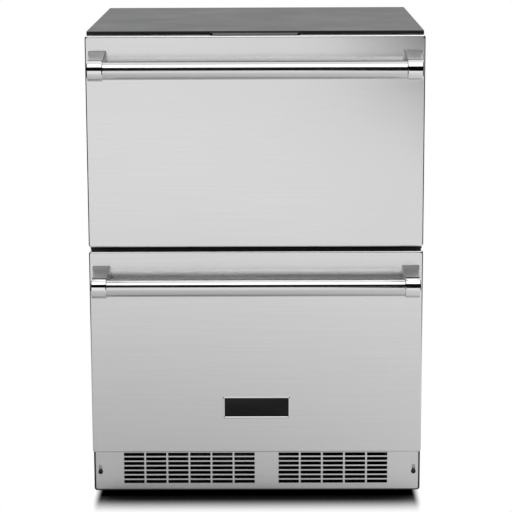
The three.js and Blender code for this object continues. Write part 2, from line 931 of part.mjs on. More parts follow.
// Finned coil: one tube bent to and fro through a row of fins, along X, in the plane of X and Z.
function finnedCoil(reach, rise, { depth, tubeRadius: bore, passes, fins, finSheet }) {
  const pitch = rise / passes;
  const bend = pitch / 2;
  const run = reach - bend - bore;
  const rings = [];
  const addRing = (x, z, heading) => {
    const ring = [];
    for (let i = 0; i < coilSides; i++) {
      const angle = (i / coilSides) * 2 * Math.PI;
      const across = bore * Math.cos(angle);
      ring.push([x - across * Math.sin(heading), bore * Math.sin(angle), z + across * Math.cos(heading)]);
    }
    rings.push(ring);
  };
  for (let pass = 0; pass < passes; pass++) {
    const side = pass % 2 === 0 ? 1 : -1;
    const z = (pass + 0.5) * pitch;
    addRing(-side * run, z, side > 0 ? 0 : Math.PI);
    const turns = pass < passes - 1 ? coilBendSteps : 1;
    for (let step = 0; step < turns; step++) {
      const turn = (step / turns) * Math.PI;
      const heading = side > 0 ? turn : Math.PI - turn;
      addRing(side * (run + bend * Math.sin(turn)), z + bend * (1 - Math.cos(turn)), heading);
    }
  }
  const tube = lofted(rings);
  const gap = (2 * run) / fins;
  const plates = [];
  for (let fin = 0; fin < fins; fin++) {
    const x = -run + (fin + 0.5) * gap;
    plates.push(block([x - finSheet / 2, -depth / 2, 0], [x + finSheet / 2, depth / 2, rise]));
  }
  return joined(tube, ...plates);
}

// Axial fan about its own Z: the outline of a hub with swept blades, turned as it rises, which
// gives every blade its pitch.
function fanBlades({ radius, hubRadius, depth, blades, bladeSheet, sweep, twist }) {
  const outline = [];
  const addPoint = (r, angle) => outline.push([r * Math.cos(angle), r * Math.sin(angle)]);
  const share = (2 * Math.PI) / blades;
  for (let blade = 0; blade < blades; blade++) {
    const root = blade * share;
    const edge = [];
    for (let step = 0; step <= bladeSteps; step++) {
      const out = step / bladeSteps;
      edge.push({ r: hubRadius + out * (radius - hubRadius), angle: root + sweep * out ** 2 });
    }
    edge.forEach(({ r, angle }) => addPoint(r, angle - bladeSheet / 2 / r));
    edge.reverse().forEach(({ r, angle }) => addPoint(r, angle + bladeSheet / 2 / r));
    addPoint(hubRadius, root + share / 2);
  }
  const shape = polygon(outline);
  const geometry = new THREE.ExtrudeGeometry(shape, { depth, steps: cornerSteps, bevelEnabled: false });
  const points = geometry.getAttribute('position');
  const point = new THREE.Vector3();
  for (let i = 0; i < points.count; i++) {
    point.fromBufferAttribute(points, i);
    point.applyAxisAngle(Z, (twist * point.z) / depth);
    points.setXYZ(i, point.x, point.y, point.z);
  }
  return outward(geometry);
}

// Motor on three arms whose feet reach forward by the standoff, its shaft end at z = 0.
function armedMotor(motorRadius, length, reach, standoff) {
  const { count, width: across, sheet } = motorArm;
  const neck = motorRadius - motorBevel;
  const profile = [
    [0, 0],
    [motorRadius, 0],
    [motorRadius, length - motorBevel],
    [neck, length],
    [0, length],
  ];
  const arms = [];
  for (let arm = 0; arm < count; arm++) {
    const turn = (arm / count) * 2 * Math.PI + Math.PI / 2;
    const bar = block([neck, -across / 2, 0], [reach, across / 2, sheet]);
    const foot = block([reach - sheet, -across / 2, -standoff], [reach, across / 2, sheet]);
    arms.push(bar.rotateZ(turn), foot.rotateZ(turn));
  }
  return joined(turned(profile, smallSides), ...arms);
}

const fanHoleRadius = evaporatorFan.radius + evaporatorFan.tip;
const evaporatorFanZ = cavity.top - evaporatorFan.drop;
const evaporatorMotorY = evaporatorFace + evaporatorCover.sheet + fit + evaporatorFan.depth;
const coverHalfWidth = cavity.halfWidth - evaporatorCover.sideGap;
const coverBottom = upperOpening.bottom + evaporatorCover.rise;
const evaporatorBottom = coverBottom + evaporator.lift;

function evaporatorCoil() {
  const reach = coverHalfWidth - evaporator.sideGap;
  const rise = evaporatorFanZ - fanHoleRadius - evaporator.fanGap - evaporatorBottom;
  const y = cavity.rear - fit - evaporator.depth / 2;
  return finnedCoil(reach, rise, evaporator).translate(0, y, evaporatorBottom);
}

// Shallow pan over the evaporator, with the fan's opening and the return air slots.
function evaporatorShell() {
  const { topGap, sheet, radius } = evaporatorCover;
  const reach = coverHalfWidth;
  const outline = { left: -reach, right: reach, bottom: coverBottom, top: cavity.top - topGap };
  const back = cavity.rear - fit;
  const shell = lofted(
    frontRings(outline, [
      { inset: sheet, y: evaporatorFace, radius },
      { inset: 0, y: evaporatorFace + sheet, radius },
      { inset: 0, y: back, radius },
      { inset: sheet, y: back, radius },
      { inset: sheet, y: evaporatorFace + sheet, radius },
    ]),
  );
  const [front, past] = [evaporatorFace - overrun, evaporatorFace + 2 * sheet];
  const hole = alongY(rod(fanHoleRadius, past - front, tubeSides)).translate(0, front, evaporatorFanZ);
  const slots = [];
  const pitch = (2 * reach) / (returnSlot.columns + 1);
  const low = coverBottom + returnSlot.rise;
  for (let column = 1; column <= returnSlot.columns; column++) {
    const left = column * pitch - reach - (pitch - returnSlot.land) / 2;
    const right = left + pitch - returnSlot.land;
    slots.push(block([left, front, low], [right, past, low + returnSlot.height]));
  }
  return cut(shell, hole, ...slots);
}

function evaporatorMotor() {
  const reach = fanHoleRadius + motorArm.reach;
  const motor = armedMotor(evaporatorFan.hubRadius, evaporatorFan.depth, reach, evaporatorFan.depth);
  return alongY(motor).translate(0, evaporatorMotorY, evaporatorFanZ);
}

function evaporatorBlades() {
  const y = evaporatorMotorY - running - evaporatorFan.depth;
  return alongY(fanBlades(evaporatorFan)).translate(0, y, evaporatorFanZ);
}

const condenserX = -legX + bossRadius + running + condenser.depth / 2;

function condenserCoil() {
  const coil = finnedCoil(condenser.halfWidth, condenser.height, condenser).rotateZ(Math.PI / 2);
  return coil.translate(condenserX, machineRoomMiddle, baseTop + fit);
}

const housingX = condenserX + condenser.depth / 2 + fit;
const housingHole = condenserFan.radius + condenserFan.tip;
const condenserMotorX = housingX + fanHousing.ring - motorArm.seat;

// Plate and venturi ring that draw air through the condenser, with the motor on its arms.
function condenserFanHousing() {
  const reach = condenser.halfWidth;
  const { sheet, ring, motorLength } = fanHousing;
  const board = block(
    [housingX, machineRoomMiddle - reach, baseTop + fit],
    [housingX + sheet, machineRoomMiddle + reach, baseTop + fit + condenser.height],
  );
  const centre = (geometry, x) => alongX(geometry).translate(x, machineRoomMiddle, condenserFan.height);
  const collar = centre(rod(housingHole + sheet, ring, tubeSides), housingX);
  const hole = centre(rod(housingHole, 2 * overrun, tubeSides), housingX - overrun);
  const throat = cut(joined(board, collar), hole);
  const motor = armedMotor(condenserFan.hubRadius, motorLength, housingHole + sheet, 0);
  return joined(throat, centre(motor, condenserMotorX));
}

function condenserBlades() {
  const x = condenserMotorX - running - condenserFan.depth;
  return alongX(fanBlades(condenserFan)).translate(x, machineRoomMiddle, condenserFan.height);
}

const compressorX = halfWidth - compressor.sideGap;
const plateHalfWidth = grommet.x + compressorPlate.margin;
const plateHalfDepth = grommet.y + compressorPlate.margin;

// Hermetic compressor: two drawn shells with their weld flange, on a foot plate with grommets.
function compressorUnit() {
  const { radius, bottomDome, seam, topDome, height: tall, flange } = compressor;
  const bottom = baseTop + fit;
  const low = bottom + grommet.height;
  const crown = domeProfile(radius, topDome).reverse();
  const shell = turned(
    [
      ...domeProfile(radius, bottomDome),
      [radius, seam - flange / 2],
      [radius + flange, seam - flange / 2],
      [radius + flange, seam + flange / 2],
      [radius, seam + flange / 2],
      ...crown.map(([r, drop]) => [r, tall - drop]),
    ],
    tubeSides,
  );
  const foot = block(
    [-plateHalfWidth, -plateHalfDepth, low - compressorPlate.sheet / 2],
    [plateHalfWidth, plateHalfDepth, low + compressorPlate.sheet / 2],
  );
  const terminals = block(
    [-terminalBox.halfWidth, 0, low + terminalBox.low],
    [terminalBox.halfWidth, radius + terminalBox.depth, low + terminalBox.high],
  );
  const grommets = [];
  for (const sideX of [-1, 1]) {
    for (const sideY of [-1, 1]) {
      const rubber = rod(grommet.radius, grommet.height);
      grommets.push(rubber.translate(sideX * grommet.x, sideY * grommet.y, bottom));
    }
  }
  const whole = joined(shell.translate(0, 0, low), foot, terminals, ...grommets);
  return whole.translate(compressorX, machineRoomMiddle, 0);
}

function condensateTray() {
  const { halfWidth: reach, halfDepth, height: deep, sheet, radius } = tray;
  const right = compressorX - plateHalfWidth - tray.gap;
  return tub({
    left: right - 2 * reach,
    right,
    front: machineRoomMiddle - halfDepth,
    back: machineRoomMiddle + halfDepth,
    bottom: baseTop + fit,
    top: baseTop + fit + deep,
    sheet,
    radius,
    rim: { out: sheet, drop: sheet },
  });
}

const glandX = halfWidth - gland.inset;
const glandZ = baseTop + gland.rise;

function machineRoomCover() {
  const side = halfWidth - baseSheet - 2 * fit;
  const sheetFace = carcassDepth - skin;
  const sheet = block(
    [-side, sheetFace, baseTop + baseBend],
    [side, carcassDepth, machineRoomTop - fit],
  );
  const [front, back] = [sheetFace - overrun, carcassDepth + overrun];
  const slots = [];
  for (let column = 0; column < ventSlot.columns; column++) {
    for (let row = 0; row < ventSlot.rows; row++) {
      const middle = (column - (ventSlot.columns - 1) / 2) * (ventSlot.length + ventSlot.pitch);
      const left = middle - ventSlot.length / 2;
      const low = machineRoomTop - ventSlot.margin - row * ventSlot.pitch;
      slots.push(block([left, front, low], [left + ventSlot.length, back, low + ventSlot.height]));
    }
  }
  const hole = alongY(rod(gland.radius + fit, back - front)).translate(glandX, front, glandZ);
  return cut(sheet, hole, ...slots);
}

// Bushing in the cover through which the supply leads are brought in.
function cordGland() {
  const { radius, flange, depth } = gland;
  const bore = radius - gland.wall;
  const profile = [
    [bore, 0],
    [radius, 0],
    [radius, depth],
    [radius + flange, depth],
    [radius + flange, depth + flange],
    [bore, depth + flange],
    [bore, 0],
  ];
  return alongY(turned(profile, smallSides)).translate(glandX, carcassDepth + fit - depth, glandZ);
}

// ---------------------------------------------------------------- finishes

function finish(color, roughness, metalness) {
  return () => new THREE.MeshStandardMaterial({ color, roughness, metalness });
}

const blackPaint = finish(0x161616, 0.5, 0);
const greyPaint = finish(0x6f7072, 0.55, 0);
const brushedSteel = finish(0xc8c8c6, 0.32, 1);
const satinSteel = finish(0xb9b9b8, 0.25, 1);
const chrome = finish(0xdededf, 0.06, 1);
const galvanised = finish(0xa9acaf, 0.45, 1);
const zinc = finish(0x8d8f90, 0.4, 1);
const foam = finish(0xe6d9a8, 0.9, 0);
const whitePlastic = finish(0xeceded, 0.35, 0);
const greyPlastic = finish(0x8a8c8e, 0.4, 0);
const darkPlastic = finish(0x202124, 0.45, 0);
const gasketVinyl = finish(0x3c3d3f, 0.7, 0);
const aluminium = finish(0xc4c6c8, 0.35, 1);
const diffuser = finish(0xf4f6f2, 0.3, 0);

// ---------------------------------------------------------------- assembly

function named(name, geometry, material) {
  const mesh = new THREE.Mesh(geometry, material());
  mesh.name = name;
  return mesh;
}

function slidePair(name, section, opening, rearLimit) {
  const pair = new THREE.Group();
  pair.add(named(`${name}_left`, slideMember(section, -1, opening, rearLimit), galvanised));
  pair.add(named(`${name}_right`, slideMember(section, 1, opening, rearLimit), galvanised));
  return pair;
}

function handle(level, axisZ) {
  const group = new THREE.Group();
  group.add(
    named(`${level}_handle_tube`, handleTube(axisZ), satinSteel),
    named(`${level}_handle_collar_left`, handleCollar(axisZ), chrome),
    named(`${level}_handle_collar_right`, mirrored(handleCollar(axisZ)), chrome),
    named(`${level}_handle_post_left`, handlePost(axisZ), satinSteel),
    named(`${level}_handle_post_right`, mirrored(handlePost(axisZ)), satinSteel),
  );
  return group;
}

function drawer(level, front, opening, rearLimit) {
  const group = new THREE.Group();
  group.add(
    named(`${level}_front_skin`, frontSkin(front), brushedSteel),
    named(`${level}_front_backing`, frontBacking(front), whitePlastic),
    named(`${level}_gasket`, gasket(front), gasketVinyl),
    named(`${level}_bin`, bin(opening, rearLimit), whitePlastic),
    handle(level, front.top - handleDrop),
    slidePair(`${level}_slide_drawer`, slideSections.drawer, opening, rearLimit),
    slidePair(`${level}_slide_middle`, slideSections.middle, opening, rearLimit),
  );
  return group;
}

function cabinet() {
  const group = new THREE.Group();
  group.add(
    named('side_panel_left', mirrored(sidePanel()), blackPaint),
    named('side_panel_right', sidePanel(), blackPaint),
    named('top_panel', topPanel(), greyPaint),
    named('back_panel', backPanel(), galvanised),
    named('machine_room_cover', machineRoomCover(), galvanised),
    named('base_pan', basePan(), blackPaint),
    named('insulation', insulation(), foam),
    named('inner_liner', innerLiner(), whitePlastic),
    named('face_frame', faceFrame(), blackPaint),
    named('control_visor', controlVisor(), darkPlastic),
    named('control_fascia', controlFascia(), greyPlastic),
    named('interior_light', interiorLight(), diffuser),
    named('kick_screw_left', kickPlateScrew(-1), zinc),
    named('kick_screw_right', kickPlateScrew(1), zinc),
    slidePair('upper_slide_cabinet', slideSections.cabinet, upperOpening, evaporatorFace),
    slidePair('lower_slide_cabinet', slideSections.cabinet, lowerOpening, cavity.lowerRear),
  );
  return group;
}

function coolingCircuit() {
  const group = new THREE.Group();
  group.add(
    named('evaporator_coil', evaporatorCoil(), aluminium),
    named('evaporator_cover', evaporatorShell(), whitePlastic),
    named('evaporator_fan_motor', evaporatorMotor(), darkPlastic),
    named('evaporator_fan_blades', evaporatorBlades(), darkPlastic),
    named('condenser_coil', condenserCoil(), aluminium),
    named('condenser_fan_housing', condenserFanHousing(), darkPlastic),
    named('condenser_fan_blades', condenserBlades(), aluminium),
    named('compressor', compressorUnit(), blackPaint),
    named('condensate_tray', condensateTray(), darkPlastic),
    named('cord_gland', cordGland(), darkPlastic),
  );
  return group;
}

function legs() {
  const group = new THREE.Group();
  for (const [place, spot] of Object.entries(legSpots)) {
    group.add(named(`leg_${place}`, levellingLeg(spot), zinc));
  }
  return group;
}

const refrigerator = new THREE.Group();
refrigerator.add(
  cabinet(),
  coolingCircuit(),
  legs(),
  named('kick_plate', kickPlate(), brushedSteel),
  drawer('upper', upperFront, upperOpening, evaporatorFace),
  drawer('lower', lowerFront, lowerOpening, cavity.lowerRear),
  named('nameplate', nameplate(), chrome),
);

// The footprint runs from the handle collars to the cord gland's flange.
refrigerator.updateMatrixWorld(true);
const footprint = new THREE.Box3().setFromObject(refrigerator, true);
refrigerator.position.y = -(footprint.min.y + footprint.max.y) / 2;

export default refrigerator;
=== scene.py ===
# %% [markdown]
# An undercounter refrigerator with two drawers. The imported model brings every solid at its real
# place, in metres, with +Z up and the drawer fronts facing -Y. This file gives each solid the
# finish of the real material, puts a copy with rounded edges in its place, and adds the small
# pieces that are too fine for the solids. The model could be rebuilt here as one mesh, but then
# nothing would move: each solid already rides on its body, and all that is new rides with it.

# %% Load the solids
import json
import math

import bmesh
import bpy
from mathutils import Matrix, Vector

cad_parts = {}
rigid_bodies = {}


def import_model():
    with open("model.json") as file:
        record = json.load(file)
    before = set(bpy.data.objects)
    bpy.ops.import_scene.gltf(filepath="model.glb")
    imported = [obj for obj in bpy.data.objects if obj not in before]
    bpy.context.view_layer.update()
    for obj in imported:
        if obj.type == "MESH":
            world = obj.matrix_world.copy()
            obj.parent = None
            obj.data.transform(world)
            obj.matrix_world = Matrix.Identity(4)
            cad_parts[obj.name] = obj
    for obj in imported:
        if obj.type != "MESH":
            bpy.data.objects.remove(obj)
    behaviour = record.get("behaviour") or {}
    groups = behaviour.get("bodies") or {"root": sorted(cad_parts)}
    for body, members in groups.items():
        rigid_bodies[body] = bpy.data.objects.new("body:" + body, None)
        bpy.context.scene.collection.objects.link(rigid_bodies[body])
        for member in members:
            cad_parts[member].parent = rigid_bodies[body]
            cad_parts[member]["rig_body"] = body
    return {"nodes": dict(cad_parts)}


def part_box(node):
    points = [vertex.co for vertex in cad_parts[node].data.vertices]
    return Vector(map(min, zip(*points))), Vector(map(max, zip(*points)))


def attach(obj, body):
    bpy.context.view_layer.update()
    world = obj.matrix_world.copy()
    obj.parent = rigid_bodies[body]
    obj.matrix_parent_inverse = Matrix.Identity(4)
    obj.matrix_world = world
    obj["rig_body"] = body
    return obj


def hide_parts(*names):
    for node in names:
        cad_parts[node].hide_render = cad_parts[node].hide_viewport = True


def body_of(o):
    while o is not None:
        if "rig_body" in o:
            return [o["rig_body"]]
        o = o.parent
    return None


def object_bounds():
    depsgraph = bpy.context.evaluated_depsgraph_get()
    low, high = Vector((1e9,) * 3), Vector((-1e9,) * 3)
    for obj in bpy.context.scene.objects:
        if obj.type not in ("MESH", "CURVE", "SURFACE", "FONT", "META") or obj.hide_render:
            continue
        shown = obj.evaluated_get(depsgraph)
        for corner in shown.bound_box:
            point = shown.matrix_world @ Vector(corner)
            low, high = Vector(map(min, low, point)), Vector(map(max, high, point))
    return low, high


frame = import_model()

nodes = frame["nodes"]
cad_box = [list(corner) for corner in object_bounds()]
print(len(nodes), "solids, box", cad_box)

# %% [markdown]
# The photograph was taken from 3.6 m in front of the drawers and 1.2 m above the floor, with a
# long lens: the two sides of the cabinet stay almost parallel. The camera could be aimed by a
# constraint, but plain angles are easier to check against the picture: it pans a little to the
# left, tilts 11 degrees down and rolls by a quarter of a degree.

# %% Camera
def in_scene(name, data):
    thing = bpy.data.objects.new(name, data)
    bpy.context.scene.collection.objects.link(thing)
    return thing


camera_data = bpy.data.cameras.new("studio_camera")
camera_data.sensor_width = 36
camera_data.lens = 142.98
camera_data.clip_end = 60
camera = in_scene("studio_camera", camera_data)
standpoint = Matrix.Translation((0.0244, -3.8817, 1.1784))
level, downwards = math.radians(90), 0.19606
pan = Matrix.Rotation(0.00672, 4, "Z")
tilt = Matrix.Rotation(level - downwards, 4, "X")
roll = Matrix.Rotation(-0.00429, 4, "Z")
camera.matrix_world = standpoint @ pan @ tilt @ roll
bpy.context.scene.camera = camera
bpy.context.scene.view_settings.view_transform = "Standard"
print("camera at", [round(value, 3) for value in camera.location])

# %% [markdown]
# Colours are written as they look on a screen, in sRGB hex, but a renderer adds light in linear
# values. One function turns the one into the other. Another feeds a node: what is a socket is
# linked, and any other value is set. A third adds a node and feeds it, so each material below
# reads as a list of its layers, and the last fills a colour ramp. Nodes could be drawn by hand
# in the editor, but then nobody could read or repeat the steps.

# %% Colour and node helpers
def linear(code):
    shares = [int(code[i:i + 2], 16) / 255 for i in (1, 3, 5)]
    bent = [s / 12.92 if s <= 0.04045 else ((s + 0.055) / 1.055) ** 2.4 for s in shares]
    return (*bent, 1)


def feed(tree, node, inputs):
    for name, value in inputs.items():
        if isinstance(value, bpy.types.NodeSocket):
            tree.links.new(value, node.inputs[name])
        else:
            node.inputs[name].default_value = value
    return node


def add(tree, kind, inputs, **settings):
    node = tree.nodes.new(kind)
    for name, value in settings.items():
        setattr(node, name, value)
    return feed(tree, node, inputs)


def stops(node, *pairs):
    ramp = node.color_ramp
    while len(ramp.elements) < len(pairs):
        ramp.elements.new(0.5)
    for element, (place, code) in zip(ramp.elements, pairs):
        element.position = place
        element.color = linear(code)
    return node.outputs["Color"]


print("mid grey in linear light:", round(linear("#808080")[0], 3))

# %% [markdown]
# The room is white all round, as in a light tent, and metal shows that white. Light that falls on
# matt surfaces comes mostly from above, so that a gap near the floor stays dark. Lamps alone could
# do this, but a world gives it without noise: one ramp over the height of the direction that the
# light comes from, and plain white for what the camera and the mirrors see.

# %% White room
white = linear("#FFFFFF")
world = bpy.data.worlds.new("white_room")
bpy.context.scene.world = world
world.use_nodes = True
sky = world.node_tree
sky.nodes.clear()
direction = add(sky, "ShaderNodeTexCoord", {}).outputs["Generated"]
height = add(sky, "ShaderNodeSeparateXYZ", {"Vector": direction}).outputs["Z"]
tent = stops(add(sky, "ShaderNodeValToRGB", {"Fac": height}),
             (0.0, "#7C7C7C"), (0.25, "#A8A8A8"), (0.6, "#F4F4F4"), (1.0, "#FFFFFF"))
light = add(sky, "ShaderNodeBackground", {"Color": tent, "Strength": 1.0})
paper = add(sky, "ShaderNodeBackground", {"Color": white, "Strength": 1.0})
ray = add(sky, "ShaderNodeLightPath", {}).outputs
shown = ray["Is Camera Ray"]
for kind in ("Is Glossy Ray", "Is Transmission Ray"):
    either = add(sky, "ShaderNodeMath", {0: shown, 1: ray[kind]}, operation="MAXIMUM")
    shown = either.outputs["Value"]
layers = {0: shown, 1: light.outputs["Background"], 2: paper.outputs["Background"]}
mixed = add(sky, "ShaderNodeMixShader", layers).outputs[0]
add(sky, "ShaderNodeOutputWorld", {"Surface": mixed})
print("white room with light from above")

# %% [markdown]
# The floor is a sheet of white paper. A plane could be lit until it clips, but then the shadow
# goes too. Here the paper is a matte white that takes the shadow close to the object. Away from
# it the camera sees the paper fade into the white of the background within a hand's width. The
# metal sees a fade over three metres that starts on the left, which makes the lower front darker
# towards the floor and towards the left. The deepest shadow, where the object stands close, is
# strengthened by ambient occlusion.

# %% Floor
def material_tree(name):
    material = bpy.data.materials.new(name)
    material.use_nodes = True
    tree = material.node_tree
    return material, tree, tree.nodes["Principled BSDF"]


def mesh_of(name, shape, material):
    mesh = bpy.data.meshes.new(name)
    shape.to_mesh(mesh)
    shape.free()
    mesh.materials.append(material)
    return mesh


# How far a place lies outside a box round the middle, with each direction weighted
def beyond(tree, place, half_size, weights):
    gap = place
    for operation, other in (("ABSOLUTE", {}), ("SUBTRACT", {1: half_size}),
                             ("MAXIMUM", {1: (0, 0, 0)}), ("MULTIPLY", {1: weights})):
        step = add(tree, "ShaderNodeVectorMath", {0: gap, **other}, operation=operation)
        gap = step.outputs["Vector"]
    return add(tree, "ShaderNodeVectorMath", {0: gap}, operation="LENGTH").outputs["Value"]


def fades_to_white(tree, distance, length, ray):
    reach = {"Value": distance, "From Min": 0.0, "From Max": length}
    fade = add(tree, "ShaderNodeMapRange", reach, interpolation_type="SMOOTHSTEP").outputs["Result"]
    return add(tree, "ShaderNodeMath", {0: fade, 1: ray}, operation="MULTIPLY").outputs["Value"]


# Half size of each patch that stays dark, how many times as fast it fades sideways, and the
# length of the fade, in metres
shadow_half, shadow_weights, shadow_fade = (0.29, 0.262, 0), (6, 1, 0), 0.092
dim_half, dim_weights, dim_fade, dim_shift = (0.3, 0.3, 0), (1.3, 1, 0), 3.2, (0.9, 0, 0)
crevice_reach, crevice_power, more_for_camera = 0.14, 1.5, 4.0
fibres_per_metre, floor_half, below_feet = 260, 14, 0.0004

floor_material, tree, shader = material_tree("matte_white_paper")
tree.nodes.remove(shader)
place = add(tree, "ShaderNodeTexCoord", {}).outputs["Object"]
ray = add(tree, "ShaderNodeLightPath", {}).outputs
distance = beyond(tree, place, shadow_half, shadow_weights)
to_camera = fades_to_white(tree, distance, shadow_fade, ray["Is Camera Ray"])
shifted = add(tree, "ShaderNodeVectorMath", {0: place, 1: dim_shift}, operation="ADD")
distance = beyond(tree, shifted.outputs["Vector"], dim_half, dim_weights)
to_metal = fades_to_white(tree, distance, dim_fade, ray["Is Glossy Ray"])
share = add(tree, "ShaderNodeMath", {0: to_camera, 1: to_metal}, operation="MAXIMUM")
noise = {"Vector": place, "Scale": fibres_per_metre, "Detail": 2}
fibre = add(tree, "ShaderNodeTexNoise", noise).outputs["Fac"]
tone = stops(add(tree, "ShaderNodeValToRGB", {"Fac": fibre}), (0.3, "#CACACA"), (0.7, "#D0D0D0"))
near = add(tree, "ShaderNodeAmbientOcclusion", {"Distance": crevice_reach}, samples=8)
powers = {0: ray["Is Camera Ray"], 1: more_for_camera, 2: crevice_power}
power = add(tree, "ShaderNodeMath", powers, operation="MULTIPLY_ADD").outputs["Value"]
deep = add(tree, "ShaderNodeMath", {0: near.outputs["AO"], 1: power}, operation="POWER")
shaded = add(tree, "ShaderNodeVectorMath", {0: tone, 3: deep.outputs["Value"]}, operation="SCALE")
matte = add(tree, "ShaderNodeBsdfDiffuse", {"Color": shaded.outputs["Vector"]}).outputs["BSDF"]
glow = add(tree, "ShaderNodeEmission", {"Color": white, "Strength": 1.0}).outputs["Emission"]
mixed = add(tree, "ShaderNodeMixShader", {0: share.outputs["Value"], 1: matte, 2: glow}).outputs[0]
tree.links.new(mixed, tree.nodes["Material Output"].inputs["Surface"])

shape = bmesh.new()
bmesh.ops.create_grid(shape, x_segments=2, y_segments=2, size=floor_half)
floor = in_scene("paper_floor", mesh_of("paper_floor", shape, floor_material))
floor.location.z = cad_box[0][2] - below_feet
print("floor at", round(floor.location.z, 4))

# %% [markdown]
# One large softbox hangs above and in front, as over a product table. It draws the white upper
# half of each handle, and gives the shadows a side. A sun lamp would be simpler, but its shadows
# have hard edges that no studio picture has.

# %% Softbox
softbox_data = bpy.data.lights.new("softbox", "AREA")
softbox_data.shape = "RECTANGLE"
softbox_data.size = 3.2
softbox_data.size_y = 1.8
softbox_data.energy = 22
softbox = in_scene("softbox", softbox_data)
softbox.location = (0.5, -1.2, 3.0)
aim = Vector((0, 0, 0.4)) - softbox.location
softbox.rotation_euler = aim.to_track_quat("-Z", "Y").to_euler()
softbox.visible_camera = False
print("softbox power", softbox_data.energy, "W")

# %% [markdown]
# A mirror in a white room has no outline, so photographers stand black cards beside the object,
# called flags. The one in front draws the thin black line along the handles, a little askew. A
# small one, stood on its corner to the right of the camera, dims the upper right corner of the
# drawers. The two at the sides draw the dark outlines of the bent edges. They end early enough
# that a view from the side still sees white in the fronts. Only reflections see the flags: they
# cast no shadow. Dark patches could be painted on the metal, but they would stay in every view.

# %% Black flags
black_felt, tree, shader = material_tree("black_felt")
tree.nodes.remove(shader)
nap = add(tree, "ShaderNodeBsdfDiffuse", {"Color": linear("#080808")}).outputs["BSDF"]
tree.links.new(nap, tree.nodes["Material Output"].inputs["Surface"])

# Width and height, place, and turn in degrees
flags = {
    "front_flag": ((4.4, 2.05), (0, -2.1, 2.0), (90, 6, 0)),
    "left_flag": ((2.6, 2.4), (-1.5, -0.35, 1.2), (90, 0, 90)),
    "right_flag": ((2.6, 2.4), (1.5, -0.35, 1.2), (90, 0, 90)),
    "corner_flag": ((0.97, 0.97), (0.85, -3, 0.885), (90, 45, 0)),
}
for name, (size, place, turn) in flags.items():
    shape = bmesh.new()
    bmesh.ops.create_grid(shape, x_segments=1, y_segments=1, size=0.5)
    card = in_scene(name, mesh_of(name, shape, black_felt))
    card.scale = (*size, 1)
    card.location = place
    card.rotation_euler = [math.radians(angle) for angle in turn]
    card.visible_camera = False
    card.visible_diffuse = False
    card.visible_shadow = False
print(len(flags), "flags of", black_felt.name)

# %% [markdown]
# Brushed stainless steel: sheet that a belt has ground along one direction. The fine parallel
# scratches stay sharp along their length and scatter light across it, so a reflection smears at
# a right angle to them. A stretched noise alone would only look painted, so the shader is also
# made anisotropic. The sheet of the drawer fronts is brushed from side to side. Real scratches
# are about 0.05 mm wide, which no picture of the whole shows, so they are drawn 1.2 mm wide.

# %% Brushed stainless sheet
def scratches(tree, along, width_mm, length_mm):
    place = add(tree, "ShaderNodeTexCoord", {}).outputs["Object"]
    pitch = [1000 / width_mm] * 3
    pitch["XYZ".index(along)] = 1000 / length_mm
    stretched = add(tree, "ShaderNodeMapping", {"Vector": place, "Scale": pitch}).outputs["Vector"]
    noise = {"Vector": stretched, "Scale": 1.0, "Detail": 3}
    return add(tree, "ShaderNodeTexNoise", noise).outputs["Fac"]


def cloud(tree, size_mm, detail=2):
    place = add(tree, "ShaderNodeTexCoord", {}).outputs["Object"]
    noise = {"Vector": place, "Scale": 1000 / size_mm, "Detail": detail}
    return add(tree, "ShaderNodeTexNoise", noise).outputs["Fac"]


# Each pattern moves a value between two limits, and the moves are added up
def uneven(tree, *moves):
    span = {"From Min": 0.3, "From Max": 0.7}  # almost all of a noise lies between these
    total = 0
    for pattern, low, high in moves:
        reach = {"Value": pattern, "To Min": low, "To Max": high, **span}
        move = add(tree, "ShaderNodeMapRange", reach).outputs["Result"]
        total = add(tree, "ShaderNodeMath", {0: total, 1: move}, operation="ADD").outputs["Value"]
    return total


def brushed_stainless(name, dark, light, roughness):
    width_mm, length_mm, depth_mm, wiped_mm = 1.2, 160, 0.0014, 220
    material, tree, shader = material_tree(name)
    grain = scratches(tree, "X", width_mm, length_mm)
    wiped = cloud(tree, wiped_mm)
    tone = stops(add(tree, "ShaderNodeValToRGB", {"Fac": grain}), (0.32, dark), (0.68, light))
    around = add(tree, "ShaderNodeTangent", {}, direction_type="RADIAL", axis="Z")
    dents = add(tree, "ShaderNodeBump", {"Height": grain, "Distance": depth_mm / 1000})
    feed(tree, shader, {
        "Metallic": 1, "Anisotropic": 0.6, "Anisotropic Rotation": 0.25,
        "Tangent": around.outputs["Tangent"], "Base Color": tone, "Normal": dents.outputs["Normal"],
        "Roughness": uneven(tree, (grain, -0.02, 0.02),
                            (wiped, roughness - 0.008, roughness + 0.014)),
    })
    return material


front_sheet = brushed_stainless("brushed_stainless_sheet", "#D8D8D8", "#DDDDDD", 0.175)
print("front sheet:", front_sheet.name)

# %% [markdown]
# The handles are stainless too, but each part has its own finish. The tube is ground and then
# buffed, so it keeps a soft grain but mirrors the softbox in long clean bands. The arms are
# satin, and the end caps are polished bright. One metal for all would be simpler, but then the
# parts of a handle run into one another in the picture.

# %% Handle metals
def buffed_metal(name, code, roughness, along, width_mm, length_mm, depth_mm):
    touched_mm = 60
    material, tree, shader = material_tree(name)
    grain = scratches(tree, along, width_mm, length_mm)
    touched = cloud(tree, touched_mm)
    dents = add(tree, "ShaderNodeBump", {"Height": grain, "Distance": depth_mm / 1000})
    feed(tree, shader, {
        "Metallic": 1, "Base Color": linear(code), "Normal": dents.outputs["Normal"],
        "Roughness": uneven(tree, (grain, -0.012, 0.012),
                            (touched, roughness * 0.9, roughness * 1.25)),
    })
    return material


